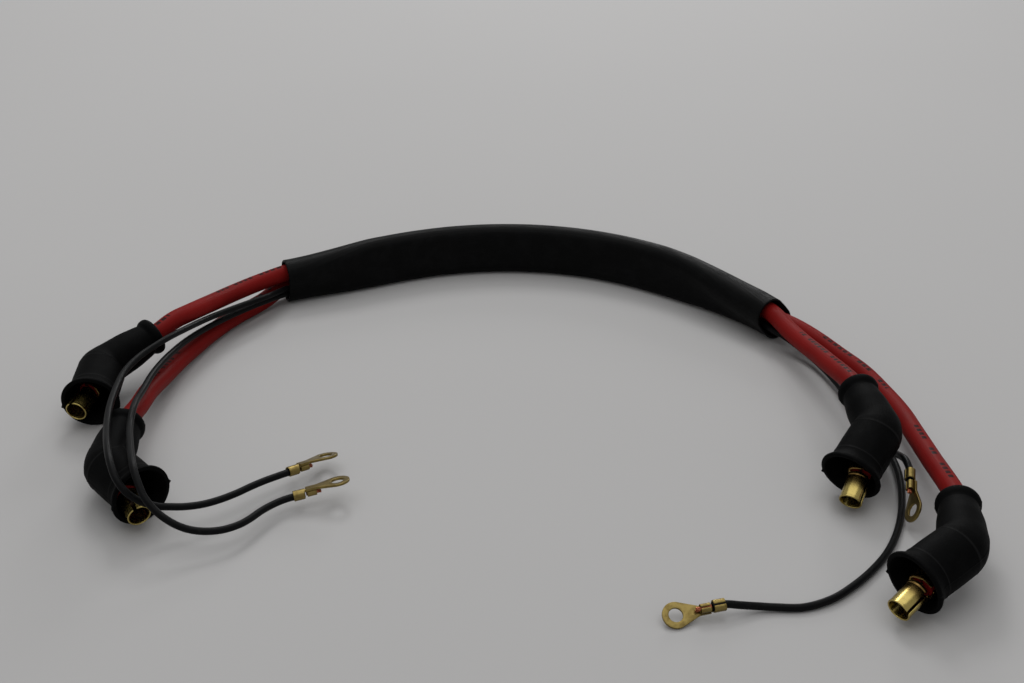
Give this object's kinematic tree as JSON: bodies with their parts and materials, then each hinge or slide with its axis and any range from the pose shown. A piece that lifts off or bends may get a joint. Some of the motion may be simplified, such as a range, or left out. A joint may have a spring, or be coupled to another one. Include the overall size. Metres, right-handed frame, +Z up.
{
  "type": "ignition coil wire",
  "caption": "Ignition wire loom: red high-tension leads and thin black earth wires in a flat black sleeve, with angled rubber boots over brass push-on terminals and brass ring terminals.",
  "frame": {"origin": "on the table under the middle of the loom's sleeve, boots and terminals", "axes": "+Z up from the table, +X from the left boots to the right boots, +Y from the front of the view to the sleeve behind"},
  "size_m": [0.307, 0.2518, 0.0278],
  "materials": {
    "sleeve": "semi-gloss black PVC",
    "silicone": "satin red silicone rubber with ink dashes",
    "wire": "satin black PVC insulation",
    "boot_rubber": "matt black moulded rubber",
    "brass": "bright rolled brass sheet",
    "lead_core": "dark bare conductor core",
    "ring_brass": "bright stamped brass sheet",
    "copper": "bare copper strands"
  },
  "bodies": {
    "root": {"loom_sleeve": "sleeve", "lead_rear": "silicone", "lead_front": "silicone", "earth_wire_short": "wire", "earth_wire_long": "wire", "boot_left_rear": "boot_rubber", "boot_left_front": "boot_rubber", "boot_right_rear": "boot_rubber", "boot_right_front": "boot_rubber", "terminal_left_rear": "brass", "terminal_left_front": "brass", "terminal_right_rear": "brass", "terminal_right_front": "brass", "lead_core_left_rear": "lead_core", "lead_core_left_front": "lead_core", "lead_core_right_rear": "lead_core", "lead_core_right_front": "lead_core", "ring_terminal_left_rear": "ring_brass", "ring_terminal_left_front": "ring_brass", "ring_terminal_right_rear": "ring_brass", "ring_terminal_right_front": "ring_brass", "strands_left_rear": "copper", "strands_left_front": "copper", "strands_right_rear": "copper", "strands_right_front": "copper"}
  },
  "joints": []
}
